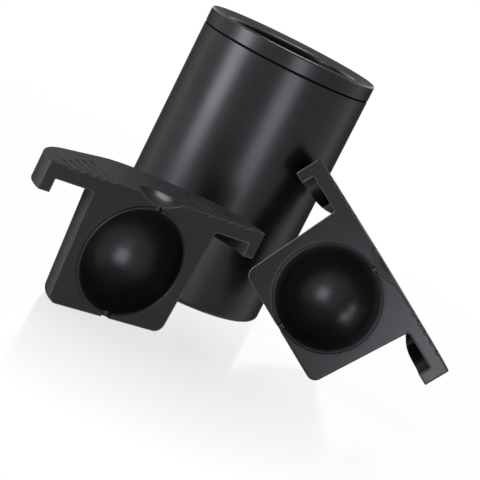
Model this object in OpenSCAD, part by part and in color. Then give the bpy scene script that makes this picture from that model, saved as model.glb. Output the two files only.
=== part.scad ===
// Silicone ball mold in two halves, with the insulated canister that the closed mold hangs in.
// The canister stands on z = 0 around the origin. Both halves are shown taken out: one stands on its foot
// in front of the canister, the other leans back on the canister's wall.

/* [Ball cavity] */
// Diameter of the ball that the closed halves form
ball_d = 60; // [50:1:64]
// Silicone above the ball, up to the top of the flange
crown_t = 7.5; // [6.5:0.1:10]
// Silicone below the ball, down to the foot
floor_t = 3; // [2.4:0.1:6]
// Silicone beside the ball, at its middle
side_wall = 8.7; // [7:0.1:10.5]
// Silicone behind the ball, at its middle
back_wall = 3.6; // [2.5:0.1:6]
// Draft of the body's sides, in degrees
draft = 3.2; // [1:0.1:4]
// Radius of the body's lower edge
foot_round = 5.5; // [3:0.1:8]
// Fillet where the body meets the flange
body_fillet = 1.4; // [0.8:0.1:2.5]

/* [Sealing bead] */
// Plain land between the ball's edge and the bead
bead_land = 0.35; // [0.3:0.05:0.8]
// Radius of the half-round bead
bead_r = 0.7; // [0.5:0.05:0.9]
// Clearance of the groove round the bead
bead_gap = 0.15; // [0.1:0.05:0.25]

/* [Water passages] */
// Diameter of the filling dish at the top of the flange
dish_d = 27.5; // [18:0.5:36]
// Depth of the filling dish
dish_depth = 4.4; // [3:0.1:5.5]
// Diameter of the filling hole
fill_d = 4.4; // [3:0.1:6]
// Diameter of the outlet through the foot
outlet_d = 5; // [3:0.1:8]

/* [Flange and ears] */
// Length of the flange from ear tip to ear tip
flange_len = 141; // [132:1:156]
// Width of the closed flange across its middle
flange_w = 99; // [94:1:108]
// Thickness of the flange
flange_t = 8.2; // [7:0.1:11]
// Radius of the ears' round ends
ear_r = 38.5; // [30:0.5:44]
// Radius of the flange's upper edge
flange_round = 0.8; // [0.4:0.1:3]
// Thickness of the finger lip under each ear
lip_t = 7; // [5:0.1:8]
// How far the finger lip hangs below the flange
lip_drop = 7.5; // [5:0.1:10]
// Radius of the finger lip's lower edge
lip_round = 0.6; // [0.4:0.1:2]
// Distance from the mold's axis at which the lip's lower edge starts to rise
lip_rise_x = 55; // [50:0.5:60]
// Radius of that rise
lip_rise_r = 24; // [16:0.5:30]
// Gap between the finger lips and the canister's wall
lip_gap = 0.8; // [0.4:0.1:2]

/* [Grip grooves] */
// Grooves on each ear
grip_count = 5; // [3:1:6]
// Distance from the mold's axis to the first groove
grip_start = 32.2; // [24:0.2:34]
// Distance from groove to groove
grip_pitch = 6.45; // [5.5:0.05:7]
// Radius of a groove
grip_r = 1.4; // [1.2:0.1:2.4]
// Depth of a groove
grip_depth = 0.9; // [0.6:0.1:1.2]
// Length of the first groove, from the mating face
grip_long = 27; // [24:0.5:32]
// How much shorter each next groove is
grip_step = 4.4; // [2:0.1:5]

/* [Canister] */
// Outer diameter
can_d = 108; // [104:1:116]
// Overall height
can_h = 160; // [130:1:200]
// Wall of the outer shell
shell_t = 2.4; // [1.8:0.1:3]
// Floor of the outer shell
shell_floor = 3; // [2.6:0.1:5]
// Radius of the shell's lower edge
base_round = 3; // [1.5:0.1:4]
// Width of the ring that the shell stands on
foot_w = 8; // [6:0.5:14]
// Depth of the recess inside that ring
foot_recess = 1; // [0.5:0.1:1.4]
// Gap round the mold's body in the mouth
throat_gap = 0.7; // [0.5:0.05:1.5]

/* [Rim collar] */
// Height of the collar's band above the groove
band_h = 9.3; // [8:0.1:12]
// Height of the groove between collar and shell
groove_h = 1.2; // [0.8:0.1:2]
// Depth of that groove
groove_d = 1; // [0.5:0.1:1.4]
// Radius of the rim's outer edge
rim_round = 1.4; // [0.6:0.1:2.5]
// Radius of the rim's inner edge
mouth_round = 1.4; // [0.6:0.1:1.5]
// Depth of that edge below the rim
mouth_sink = 2.4; // [1.6:0.1:2.7]
// Share of the rim's width that slopes down to that edge
slope_share = 0.74; // [0.4:0.02:0.84]
// Drop from the rim to the cup's lip
ledge_drop = 5.6; // [5.3:0.1:7]
// Wall of the collar's spigot
spigot_t = 2.5; // [1.8:0.1:3]
// How far the spigot reaches down into the shell
spigot_l = 8; // [5:0.5:12]
// Clearance of the spigot in the shell, and of the cup's lip in the collar
seat_gap = 0.2; // [0.15:0.05:0.4]

/* [Cup and foam] */
// Wall, floor and lip of the inner cup
cup_t = 2; // [1.5:0.1:2.6]
// Radius of the cup's inner corner
cup_round = 5; // [3:0.5:8]
// Thickness of the foam under the cup
foam_floor = 12; // [6:0.5:20]
// Gap between the foam and its neighbours' walls
foam_gap = 0.2; // [0.1:0.05:0.4]

/* [Standing half] */
// Gap between the standing half and the canister
stand_gap = 43.2; // [10:0.2:80]
// Side of the canister that it stands on, in degrees from the right
stand_side = -89.2; // [-120:0.1:-60]
// Turn of its mating face, in degrees
stand_turn = 37.3; // [0:0.1:60]

/* [Leaning half] */
// Gap between the leaning half and the canister
lean_gap = 0.35; // [0.3:0.05:1]
// Side of the canister that it leans on, in degrees from the right
lean_side = -38.9; // [-60:0.1:-20]
// Turn of its mating face, in degrees
lean_turn = -7; // [-15:0.1:10]
// Lean to the side, in degrees
lean_side_tilt = 30.9; // [20:0.1:40]
// Lean towards the canister, in degrees
lean_back_tilt = 8.4; // [0:0.1:20]

/* [Hidden] */
$fn = 96;

// Colours as the object shows them
shell_colour = [0.11, 0.11, 0.12];
gasket_colour = [0.04, 0.04, 0.04];
cup_colour = [0.13, 0.13, 0.14];
foam_colour = [0.9, 0.9, 0.88];
silicone_colour = [0.17, 0.17, 0.18];

// Heights of the mold, from the middle of the ball
ball_r = ball_d / 2;
flange_top = ball_r + crown_t;
flange_under = flange_top - flange_t;
lip_foot = flange_under - lip_drop;
foot = -ball_r - floor_t;
slope = tan(draft);

// Plan of the body: the ball's circle moved out to both sides, and a larger circle between
body_end_r = ball_r;
body_mid_r = ball_r + back_wall;
body_half_w = ball_r + side_wall;
body_neck_r = body_half_w + flange_under * slope;

// Plan of the flange: a wide middle circle, with a round ear at each side
flange_mid_r = flange_w / 2;
ear_x = flange_len / 2 - ear_r;

// Radii of the canister's walls
can_r = can_d / 2;
shell_in_r = can_r - shell_t;
spigot_out_r = shell_in_r - seat_gap;
spigot_in_r = spigot_out_r - spigot_t;
cup_in_r = body_neck_r + throat_gap;
cup_out_r = cup_in_r + cup_t;
cup_lip_r = spigot_in_r - seat_gap;
mouth_r = body_neck_r + body_fillet + throat_gap;
mouth_slope = slope_share * (can_r - rim_round - mouth_r);

// Heights of the canister's walls
shell_top = can_h - band_h - groove_h;
band_foot = can_h - band_h;
spigot_foot = shell_top - spigot_l;
lip_top = can_h - ledge_drop;
cup_foot = shell_floor + foam_floor;

// A margin that carries a cut past the face it opens, and an overlap for joined solids
past = 1;
// How far flanks and slopes lie inside the tangents, so that they cross the circles cleanly
flank_sink = 0.05;
// A length greater than the whole mold, for what cuts right through it
far = 2 * (flange_len + can_h);

function rot_x(v, a) = [v.x, v.y * cos(a) - v.z * sin(a), v.y * sin(a) + v.z * cos(a)];
function rot_y(v, a) = [v.x * cos(a) + v.z * sin(a), v.y, v.z * cos(a) - v.x * sin(a)];
function rot_z(v, a) = [v.x * cos(a) - v.y * sin(a), v.x * sin(a) + v.y * cos(a), v.z];

// A half is turned as [lean back, lean to the side, turn about the upright]
function to_room(v, lean) = rot_z(rot_x(rot_y(v, lean.y), lean.x), lean.z);
function to_half(v, lean) = rot_y(rot_x(rot_z(v, -lean.z), -lean.x), -lean.y);

// Point of the flange that reaches furthest in a direction, in the half's own frame
function flange_reach(w) =
    let (n = [w.x, w.y] / norm([w.x, w.y]), on_ear = abs(n.x) * ear_x + ear_r > flange_mid_r)
    [on_ear ? sign(n.x) * ear_x + ear_r * n.x : flange_mid_r * n.x, (on_ear ? ear_r : flange_mid_r) * n.y,
     w.z > 0 ? flange_top : lip_foot];

// How far the body's rounded foot reaches in a direction, in the half's own frame
function foot_reach(w) =
    let (z = foot + foot_round, inset = z * slope - foot_round / cos(draft), flat = norm([w.x, w.y]))
    max(abs(w.x) * side_wall + (body_end_r + inset) * flat, (body_mid_r + inset) * flat)
    + z * w.z + foot_round;

// Place of a half beside the canister: a gap away from its wall on the given side, resting on z = 0
function half_place(lean, side, gap) =
    let (out = [cos(side), sin(side), 0], touch = to_room(flange_reach(to_half(-out, lean)), lean),
         at = (can_r + gap) * out - touch)
    [at.x, at.y, foot_reach(to_half([0, 0, -1], lean))];

stand_lean = [0, 0, stand_turn];
stand_place = half_place(stand_lean, stand_side, stand_gap);
lean_lean = [-lean_back_tilt, lean_side_tilt, lean_turn];
lean_place = half_place(lean_lean, lean_side, lean_gap);

// Solid with an oval plan: a middle circle and two end circles, joined by flanks along their common tangents.
// The child draws the section for an edge at $edge_r from the section's own axis. On a flank the edge lies
// $edge_sink further in, and the section's round edges are larger by that much.
module oval_solid(mid_r, end_r, end_x) {
    flank_angle = acos((mid_r - end_r) / end_x);
    oval_ring(mid_r) children();
    for (side = [-1, 1])
        translate([side * end_x, 0, 0]) oval_ring(end_r) children();
    for (side = [0, 1])
        mirror([side, 0, 0]) rotate([0, 0, flank_angle]) rotate([90, 0, 0])
            oval_flank(mid_r, end_x * sin(flank_angle)) children();
}

module oval_ring(r) {
    $edge_r = r;
    $edge_sink = 0;
    rotate_extrude() children();
}

module oval_flank(r, length) {
    $edge_r = r - flank_sink;
    $edge_sink = flank_sink;
    linear_extrude(length) children();
}

// Section of the flange and lips as one block, before it is hollowed from below
module flange_section(r, sink) {
    foot_r = lip_round + sink;
    top_r = flange_round + sink;
    translate([0, lip_foot]) square([r - foot_r, flange_top - lip_foot - top_r]);
    translate([0, lip_foot + foot_r]) square([r, flange_top - top_r - lip_foot - foot_r]);
    translate([0, lip_foot + foot_r]) square([r - top_r, flange_top - lip_foot - foot_r]);
    translate([r - foot_r, lip_foot + foot_r]) circle(foot_r);
    translate([r - top_r, flange_top - top_r]) circle(top_r);
}

// Section of the drafted body, with its fillet under the flange and its rounded foot
module body_section(r) {
    neck = r + flange_under * slope;
    fillet_x = neck - body_fillet * slope + body_fillet / cos(draft);
    fillet_z = flange_under - body_fillet;
    foot_z = foot + foot_round;
    foot_x = r + foot_z * slope - foot_round / cos(draft);
    polygon([[0, flange_under + past], [neck, flange_under + past], [neck, flange_under],
             [foot_x + foot_round * cos(draft), foot_z - foot_round * sin(draft)],
             [foot_x, foot], [0, foot]]);
    translate([foot_x, foot_z]) circle(foot_round);
    difference() {
        translate([neck - body_fillet, fillet_z]) square([fillet_x - neck + body_fillet, body_fillet + past]);
        translate([fillet_x, fillet_z]) circle(body_fillet);
    }
}

// Front view of what is cut away between the two finger lips
module lip_cut_view() {
    difference() {
        translate([-lip_rise_x, lip_foot - past]) square([2 * lip_rise_x, lip_drop + past]);
        for (side = [-1, 1])
            translate([side * lip_rise_x, lip_foot + lip_rise_r]) circle(lip_rise_r);
    }
}

module flange() {
    difference() {
        oval_solid(flange_mid_r, ear_r, ear_x) flange_section($edge_r, $edge_sink);
        oval_solid(flange_mid_r - lip_t, ear_r - lip_t, ear_x)
            translate([0, lip_foot - past]) square([$edge_r, lip_drop + past]);
        translate([0, 0, lip_foot - past]) cylinder(h = lip_drop + past, r = can_r + lip_gap);
        translate([0, far / 2, 0]) rotate([90, 0, 0]) linear_extrude(far) lip_cut_view();
    }
}

// One round-ended grip groove, which starts at the mating face
module grip_groove(x, length) {
    translate([x, -past, flange_top + grip_r - grip_depth]) {
        rotate([-90, 0, 0]) cylinder(h = length + past, r = grip_r);
        translate([0, length + past, 0]) sphere(grip_r);
    }
}

module grip_grooves() {
    for (side = [0, 1], i = [0 : grip_count - 1])
        mirror([side, 0, 0]) grip_groove(grip_start + i * grip_pitch, grip_long - i * grip_step);
}

// Ring on the mating face, round the ball's edge
module face_ring(r) {
    rotate([90, 0, 0]) rotate_extrude() translate([ball_r + bead_land + bead_r, 0]) circle(r);
}

module dish() {
    chord_r = dish_d / 2;
    r = (chord_r * chord_r + dish_depth * dish_depth) / (2 * dish_depth);
    translate([0, 0, flange_top + r - dish_depth]) sphere(r);
}

module passages() {
    sphere(ball_r);
    dish();
    cylinder(h = flange_top, r = fill_d / 2);
    translate([0, 0, foot - past]) cylinder(h = ball_r, r = outlet_d / 2);
}

// Solid of one half before its seal: the side of the mold behind the mating face
module half_block() {
    intersection() {
        union() {
            flange();
            oval_solid(body_mid_r, body_end_r, side_wall) body_section($edge_r);
        }
        translate([-far / 2, 0, -far / 2]) cube(far);
    }
}

module put(place, lean) {
    translate(place) rotate([0, 0, lean.z]) rotate([lean.x, 0, 0]) rotate([0, lean.y, 0]) children();
}

// The half that stands carries the bead
module mold_half_standing() {
    color(silicone_colour) put(stand_place, stand_lean) difference() {
        union() {
            half_block();
            face_ring(bead_r);
        }
        passages();
        grip_grooves();
    }
}

// The half that leans carries the groove for the bead
module mold_half_leaning() {
    color(silicone_colour) put(lean_place, lean_lean) difference() {
        half_block();
        face_ring(bead_r + bead_gap);
        passages();
        grip_grooves();
    }
}

// Outer shell: a deep cup that stands on a ring
module outer_shell() {
    color(shell_colour) rotate_extrude() difference() {
        union() {
            translate([0, base_round]) square([can_r, shell_top - base_round]);
            square([can_r - base_round, shell_top]);
            translate([can_r - base_round, base_round]) circle(base_round);
        }
        translate([0, shell_floor]) square([shell_in_r, shell_top]);
        translate([0, -past]) square([can_r - base_round - foot_w, foot_recess + past]);
        translate([-can_d, 0]) square([can_d, can_h]);
    }
}

module ring(in_r, out_r, z0, z1) {
    difference() {
        translate([0, 0, z0]) cylinder(h = z1 - z0, r = out_r);
        translate([0, 0, z0 - past]) cylinder(h = z1 - z0 + 2 * past, r = in_r);
    }
}

// Gasket that lies in the groove, on the shell's edge
module rim_gasket() {
    color(gasket_colour) ring(shell_in_r, can_r - groove_d, shell_top, band_foot);
}

// Collar: rim and band outside, a spigot in the shell, and a shoulder over the cup's lip
module rim_collar() {
    edge = [mouth_r + mouth_round, can_h - mouth_sink - mouth_round];
    flat_in = [mouth_r + mouth_slope, can_h];
    away = flat_in - edge;
    reach = mouth_round - flank_sink;
    turn = atan2(away.y, away.x) + acos(reach / norm(away));
    slope_end = edge + reach * [cos(turn), sin(turn)];
    color(shell_colour) rotate_extrude() {
        polygon([[mouth_r, lip_top], [can_r - rim_round, lip_top], [can_r - rim_round, can_h], flat_in,
                 slope_end, [mouth_r, edge.y]]);
        translate(edge) circle(mouth_round);
        translate([can_r - rim_round, can_h - rim_round]) circle(rim_round);
        translate([spigot_in_r, band_foot]) square([can_r - spigot_in_r, band_h - rim_round]);
        translate([spigot_in_r, spigot_foot]) square([spigot_t, lip_top - spigot_foot]);
    }
}

// Inner cup: hangs by its lip under the collar's shoulder and stands on the foam
module inner_cup() {
    color(cup_colour) rotate_extrude() difference() {
        union() {
            cup_form(cup_out_r, cup_foot, cup_round + cup_t);
            translate([0, lip_top - cup_t]) square([cup_lip_r, cup_t]);
        }
        cup_form(cup_in_r, cup_foot + cup_t, cup_round);
    }
}

// Half section of a round cup with a rounded corner, up to the lip
module cup_form(r, z, corner) {
    translate([0, z + corner]) square([r, lip_top - z - corner]);
    translate([0, z]) square([r - corner, lip_top - z]);
    intersection() {
        translate([r - corner, z + corner]) circle(corner);
        translate([r - corner, z]) square(corner);
    }
}

// Foam tube between cup and shell, with a neck inside the spigot
module foam_sleeve() {
    color(foam_colour) union() {
        ring(cup_out_r + foam_gap, shell_in_r - foam_gap, cup_foot, spigot_foot);
        ring(cup_out_r + foam_gap, spigot_in_r - foam_gap, spigot_foot - past, lip_top - cup_t);
    }
}

// Foam disc under the cup
module foam_disc() {
    color(foam_colour) translate([0, 0, shell_floor]) cylinder(h = foam_floor, r = shell_in_r - foam_gap);
}

outer_shell();
rim_gasket();
rim_collar();
inner_cup();
foam_sleeve();
foam_disc();
mold_half_standing();
mold_half_leaning();
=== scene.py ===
import math

import bpy
from mathutils import Matrix, Vector

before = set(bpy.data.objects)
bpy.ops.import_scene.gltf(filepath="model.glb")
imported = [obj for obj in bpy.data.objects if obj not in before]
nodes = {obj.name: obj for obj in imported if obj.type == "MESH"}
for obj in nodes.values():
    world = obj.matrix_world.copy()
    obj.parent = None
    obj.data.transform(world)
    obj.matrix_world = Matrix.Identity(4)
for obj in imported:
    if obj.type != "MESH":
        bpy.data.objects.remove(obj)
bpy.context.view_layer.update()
scene = bpy.context.scene

# Camera, in metres and degrees: yaw to the right of +Y, pitch below the level, roll to the right
CAMERA_PLACE = Vector((0.008706, -1.00006, 0.228886))
CAMERA_YAW = 0.8461
CAMERA_PITCH = 10.7015
CAMERA_ROLL = 26.8637
CAMERA_CLIP = (0.01, 200.0)
FOCAL_PX = 1668.93
IMAGE_PX = 480
SENSOR_MM = 36.0

# Lamps, in metres: strips stand on the floor, all lamps face the target, and a lamp's power is its level for
# each unit of its area, times pi
TARGET = Vector((0.02, -0.06, 0.07))
STRIPS = (
    {"name": "strip_left", "x": -0.46, "y": -0.285, "width": 0.18, "height": 0.36, "level": 14.0},
    {"name": "strip_front", "x": 0.15, "y": -0.47, "width": 0.16, "height": 0.17, "level": 8.5},
)
TOP_LAMP = {"name": "top", "place": Vector((0.02, 0.34, 1.3)), "width": 0.5, "height": 0.25, "level": 16.0}
WORLD_LEVEL = 0.35

# Range that most of a noise lies in, scale and detail of the mottling, detail and strength of the grain
NOISE_RANGE = (0.3, 0.7)
MOTTLE_SCALE = 38.0
MOTTLE_DETAIL = 4.0
GRAIN_DETAIL = 2.0
GRAIN_STRENGTH = 0.35

# How much rougher a wall and a lying face are where they are seen at a glancing angle, the turn over which
# that grows, and how far a face looks up while it goes from a wall to a lying face
GLANCING_WALL = 0.65
GLANCING_FLAT = 0.36
GLANCING_TURN = (0.45, 0.75)
WALL_TO_FLAT = (0.3, 0.8)

# Polished edges: how far a face looks up, from 0 for a wall to 1 for a flat top, where they start and end
EDGE_FOOT = (0.2, 0.35)
EDGE_TOP = (0.9, 0.935)
POLISH_ROUGH = 0.25

# Cosine of the turn of a rounded edge at which its lighter tone, partly wear and partly a painted highlight
# along the edge, is full, and at which it starts
WEAR_AND_SHEEN_BEND = (0.78, 0.97)
BEVEL_SAMPLES = 8

# Mating faces of the halves, in metres: middle of the ball and the way the face looks
FACES = {
    "mold_half_standing": ((-0.02356, -0.155078, 0.033), (0.606, -0.7955, 0.0)),
    "mold_half_leaning": ((0.082018, -0.068175, 0.045397), (-0.1206, -0.9819, 0.1461)),
}

# Radius of the edges round a mating face and their tone, which is a painted highlight along the outline,
# radius of the edges of its sealing ring, how near the face the outer edges lie and how far outside the ring
FACE_EDGE = 0.0018
FACE_EDGE_HIGHLIGHT = 0.08
RING_EDGE = 0.00005
FACE_NEAR = (0.0014, 0.0018)
RING_OUT = (0.0322, 0.0326)

# Share of red, green and blue in the dark materials and in what they reflect
BLACK_TINT = (0.92, 0.97, 1.11)
GLOSS_TINT = (0.96, 0.985, 1.055)

# Floor, in metres, with walls far away: its paint, and how much of it is plain white to the eye near the
# object
FLOOR_HALF = 60.0
WALL_HEIGHT = 40.0
FLOOR_TONE = 0.9
PAINT_ROUGH = 0.3
PAINT_GLOSS = 0.3
FLOOR_WHITE_NEAR = 0.95
FLOOR_NEAR = 0.2
FLOOR_FAR = 0.5

# Gloss of the floor: its share, its roughness, its middle and the distances over which it fades
FLOOR_MIRROR = 0.2
FLOOR_ROUGH = 0.16
GLOSS_MIDDLE = (-0.02, -0.14, 0.0)
GLOSS_FADE = (0.04, 0.18)


def camera_axes(yaw, pitch, roll):
    """Right, up and back of a camera that looks along +Y at yaw 0, in the room."""
    cy, sy = math.cos(math.radians(yaw)), math.sin(math.radians(yaw))
    cp, sp = math.cos(math.radians(pitch)), math.sin(math.radians(pitch))
    cr, sr = math.cos(math.radians(roll)), math.sin(math.radians(roll))
    forward = Vector((sy * cp, cy * cp, -sp))
    level = Vector((cy, -sy, 0.0))
    upright = level.cross(forward)
    right = level * cr + upright * sr
    up = upright * cr - level * sr
    return right, up, -forward


def add_camera():
    """The camera of the photograph."""
    data = bpy.data.cameras.new("camera")
    data.sensor_fit = "HORIZONTAL"
    data.sensor_width = SENSOR_MM
    data.lens = FOCAL_PX / IMAGE_PX * SENSOR_MM
    data.clip_start, data.clip_end = CAMERA_CLIP
    camera = bpy.data.objects.new("camera", data)
    right, up, back = camera_axes(CAMERA_YAW, CAMERA_PITCH, CAMERA_ROLL)
    turn = Matrix((right, up, back)).transposed().to_4x4()
    camera.matrix_world = Matrix.Translation(CAMERA_PLACE) @ turn
    scene.collection.objects.link(camera)
    scene.camera = camera


class Graph:
    """A node tree, with short calls for the few nodes used here."""

    def __init__(self, tree):
        self.tree = tree
        self.tree.nodes.clear()

    def put(self, socket, value):
        """Links a socket to the input, or sets the input to a plain value."""
        if isinstance(value, bpy.types.NodeSocket):
            self.tree.links.new(value, socket)
        else:
            socket.default_value = value

    def add(self, kind, **inputs):
        """A node with its inputs by name, with _ for a space."""
        made = self.tree.nodes.new(kind)
        for name, value in inputs.items():
            self.put(made.inputs[name.replace("_", " ")], value)
        return made

    def math(self, operation, a, b):
        made = self.tree.nodes.new("ShaderNodeMath")
        made.operation = operation
        self.put(made.inputs[0], a)
        self.put(made.inputs[1], b)
        return made.outputs[0]

    def vector(self, operation, a, *rest):
        made = self.tree.nodes.new("ShaderNodeVectorMath")
        made.operation = operation
        for index, value in enumerate((a, *rest)):
            self.put(made.inputs[index], value)
        return made.outputs["Value" if operation in ("DOT_PRODUCT", "LENGTH") else "Vector"]

    def place(self):
        return self.add("ShaderNodeTexCoord").outputs["Object"]

    def noise(self, scale, detail):
        return self.add("ShaderNodeTexNoise", Vector=self.place(), Scale=scale, Detail=detail).outputs[0]

    def spread(self, value, low, high, from_low=NOISE_RANGE[0], from_high=NOISE_RANGE[1]):
        """Takes a value from one range to another, and holds it there at both ends."""
        made = self.add("ShaderNodeMapRange", Value=value, From_Min=from_low, From_Max=from_high,
                        To_Min=low, To_Max=high)
        return made.outputs[0]

    def blend(self, factor, a, b):
        """Mixes two colours."""
        made = self.tree.nodes.new("ShaderNodeMix")
        made.data_type = "RGBA"
        for index, value in ((0, factor), (6, a), (7, b)):
            self.put(made.inputs[index], value)
        return made.outputs[2]

    def mix(self, factor, a, b):
        """Mixes two shaders."""
        made = self.tree.nodes.new("ShaderNodeMixShader")
        for index, value in enumerate((factor, a, b)):
            self.put(made.inputs[index], value)
        return made.outputs[0]

    def finish(self, surface):
        out = self.tree.nodes.new("ShaderNodeOutputMaterial")
        self.tree.links.new(surface, out.inputs["Surface"])


def grey(level, warmth=0.0):
    return (level * (1 + warmth), level, level * (1 - warmth), 1.0)


def black(level):
    """A dark grey with the slight blue that the plastic and the silicone have."""
    return (level * BLACK_TINT[0], level * BLACK_TINT[1], level * BLACK_TINT[2], 1.0)


def face_zones(g, face):
    """Two shares for a half: 1 along the outline of its mating face, and 1 outside the ball and the ring."""
    middle, normal = face
    off = g.vector("SUBTRACT", g.place(), middle)
    height = g.math("ABSOLUTE", g.vector("DOT_PRODUCT", off, normal), 0.0)
    beside = g.spread(height, 1.0, 0.0, *FACE_NEAR)
    outside = g.spread(g.vector("LENGTH", off), 0.0, 1.0, *RING_OUT)
    return g.math("MULTIPLY", beside, outside), outside


def dull_material(name, dark, light, worn_and_sheen, rough, grain, depth, specular, edge, face=None, polish=0.0):
    """Plastic, rubber or foam: mottled colour and gloss, a fine grain, and rounded edges that are lighter,
    partly from wear and partly as a painted highlight, or polished.
    """
    made = bpy.data.materials.new(name)
    made.use_nodes = True
    g = Graph(made.node_tree)
    cloud = g.noise(MOTTLE_SCALE, MOTTLE_DETAIL)
    fine = g.noise(grain, GRAIN_DETAIL)
    if face:
        outline, outside = face_zones(g, face)
        edge = g.spread(outline, g.spread(outside, RING_EDGE, edge, 0.0, 1.0), FACE_EDGE, 0.0, 1.0)
        # Along the outline of the mating face the edge tone is a painted highlight
        worn_and_sheen = g.blend(outline, worn_and_sheen, black(FACE_EDGE_HIGHLIGHT))
    rounded = g.add("ShaderNodeBevel", Radius=edge)
    rounded.samples = BEVEL_SAMPLES
    plain = g.add("ShaderNodeNewGeometry").outputs["Normal"]
    # Rounded edges get a lighter tone: partly wear, partly a painted highlight along the edge
    wear_and_sheen = g.spread(g.vector("DOT_PRODUCT", rounded.outputs[0], plain), 1.0, 0.0, *WEAR_AND_SHEEN_BEND)
    colour = g.blend(wear_and_sheen, g.blend(g.spread(cloud, 0.0, 1.0), dark, light), worn_and_sheen)
    normal = g.add("ShaderNodeBump", Height=fine, Strength=GRAIN_STRENGTH, Distance=depth,
                   Normal=rounded.outputs[0])
    turned = g.add("ShaderNodeLayerWeight", Blend=0.5).outputs["Facing"]
    up = g.add("ShaderNodeSeparateXYZ", Vector=plain).outputs["Z"]
    most = g.spread(g.math("ABSOLUTE", up, 0.0), GLANCING_WALL, GLANCING_FLAT, *WALL_TO_FLAT)
    dulled = g.math("MULTIPLY", g.spread(turned, 0.0, 1.0, *GLANCING_TURN), most)
    gloss = g.math("ADD", g.spread(cloud, *rough), dulled)
    shader = g.add("ShaderNodeBsdfPrincipled", Base_Color=colour, Roughness=gloss,
                   Normal=normal.outputs[0], Specular_IOR_Level=specular)
    shader.inputs["Specular Tint"].default_value = (*GLOSS_TINT, 1.0)
    if polish:
        edges = g.math("MULTIPLY", g.spread(up, 0.0, polish, *EDGE_FOOT), g.spread(up, 1.0, 0.0, *EDGE_TOP))
        g.put(shader.inputs["Coat Weight"], edges)
        shader.inputs["Coat Roughness"].default_value = POLISH_ROUGH
    g.finish(shader.outputs[0])
    return made


def shell_material():
    return dull_material("satin_shell", dark=black(0.004), light=black(0.006), worn_and_sheen=black(0.03),
                         rough=(0.28, 0.33), grain=1600.0, depth=0.00003, specular=0.25, edge=0.0004,
                         polish=1.0)


def gasket_material():
    return dull_material("gasket_rubber", dark=black(0.0015), light=black(0.0025), worn_and_sheen=black(0.004),
                         rough=(0.85, 0.95), grain=1200.0, depth=0.00004, specular=0.03, edge=0.0002)


def cup_material():
    return dull_material("cup_plastic", dark=black(0.006), light=black(0.009), worn_and_sheen=black(0.02),
                         rough=(0.5, 0.58), grain=1600.0, depth=0.00003, specular=0.06, edge=0.0004)


def foam_material():
    return dull_material("closed_foam", dark=grey(0.66, 0.01), light=grey(0.78, 0.01), worn_and_sheen=grey(0.8, 0.01),
                         rough=(0.85, 0.95), grain=700.0, depth=0.0004, specular=0.1, edge=0.0006)


def silicone_material(node):
    return dull_material("silicone_" + node, dark=black(0.004), light=black(0.006), worn_and_sheen=black(0.04),
                         rough=(0.28, 0.33), grain=1300.0, depth=0.00005, specular=0.26, edge=0.0004,
                         face=FACES[node])


def paint(material, *painted):
    """Gives some nodes one material."""
    for node in painted:
        slots = nodes[node].data.materials
        slots.clear()
        slots.append(material)


def add_lamp(name, place, width, height, level):
    """A soft rectangular lamp that faces the target."""
    data = bpy.data.lights.new(name, "AREA")
    data.shape = "RECTANGLE"
    data.size = width
    data.size_y = height
    data.energy = level * math.pi * width * height
    lamp = bpy.data.objects.new(name, data)
    lamp.location = place
    lamp.rotation_euler = (TARGET - place).to_track_quat("-Z", "Y").to_euler()
    scene.collection.objects.link(lamp)


def add_lamps():
    """Two strips beside the camera's view and one lamp high up behind the object."""
    for strip in STRIPS:
        place = Vector((strip["x"], strip["y"], strip["height"] / 2))
        add_lamp(strip["name"], place, strip["width"], strip["height"], strip["level"])
    add_lamp(**TOP_LAMP)


def seen_directly(g):
    """1 for rays from the camera, in reflections and through clear things, and 0 for falling light."""
    path = g.tree.nodes.new("ShaderNodeLightPath")
    either = g.math("MAXIMUM", path.outputs["Is Camera Ray"], path.outputs["Is Glossy Ray"])
    return g.math("MAXIMUM", either, path.outputs["Is Transmission Ray"])


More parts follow.
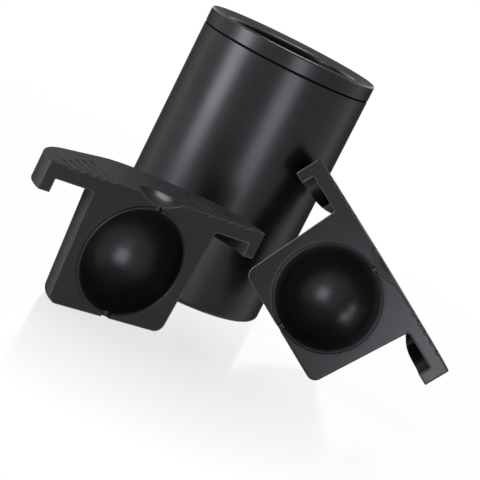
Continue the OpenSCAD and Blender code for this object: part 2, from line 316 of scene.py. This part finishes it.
def add_floor():
    """A floor with four walls far away, in one mesh."""
    corners = [(x * FLOOR_HALF, y * FLOOR_HALF) for x, y in ((-1, -1), (1, -1), (1, 1), (-1, 1))]
    points = [(x, y, z) for z in (0.0, WALL_HEIGHT) for x, y in corners]
    walls = [(i, (i + 1) % 4, (i + 1) % 4 + 4, i + 4) for i in range(4)]
    mesh = bpy.data.meshes.new("floor")
    mesh.from_pydata(points, [], [(0, 1, 2, 3)] + walls)
    mesh.materials.append(floor_material())
    floor = bpy.data.objects.new("floor", mesh)
    scene.collection.objects.link(floor)


def floor_material():
    """White paint that shows plain white to the eye and keeps the shadow, with a patch of gloss."""
    made = bpy.data.materials.new("floor")
    made.use_nodes = True
    g = Graph(made.node_tree)
    lit = g.add("ShaderNodeBsdfPrincipled", Base_Color=grey(FLOOR_TONE), Roughness=PAINT_ROUGH,
                Specular_IOR_Level=PAINT_GLOSS)
    white = g.add("ShaderNodeEmission", Color=grey(1.0), Strength=1.0)
    share = g.spread(g.vector("LENGTH", g.place()), FLOOR_WHITE_NEAR, 1.0, FLOOR_NEAR, FLOOR_FAR)
    plain = g.mix(g.math("MULTIPLY", share, seen_directly(g)), lit.outputs[0], white.outputs[0])
    mirror = g.add("ShaderNodeBsdfAnisotropic", Color=grey(1.0), Roughness=FLOOR_ROUGH)
    away = g.vector("LENGTH", g.vector("SUBTRACT", g.place(), GLOSS_MIDDLE))
    g.finish(g.mix(g.spread(away, FLOOR_MIRROR, 0.0, *GLOSS_FADE), plain, mirror.outputs[0]))
    return made


def set_world():
    """Even light from all round."""
    world = bpy.data.worlds.new("studio")
    scene.world = world
    world.use_nodes = True
    g = Graph(world.node_tree)
    back = g.add("ShaderNodeBackground", Color=grey(1.0), Strength=WORLD_LEVEL)
    out = g.tree.nodes.new("ShaderNodeOutputWorld")
    g.tree.links.new(back.outputs[0], out.inputs["Surface"])


scene.view_settings.view_transform = "Standard"
add_camera()

paint(shell_material(), "outer_shell", "rim_collar")
paint(gasket_material(), "rim_gasket")
paint(cup_material(), "inner_cup")
paint(foam_material(), "foam_sleeve", "foam_disc")
for half in FACES:
    paint(silicone_material(half), half)

add_floor()
set_world()
add_lamps()
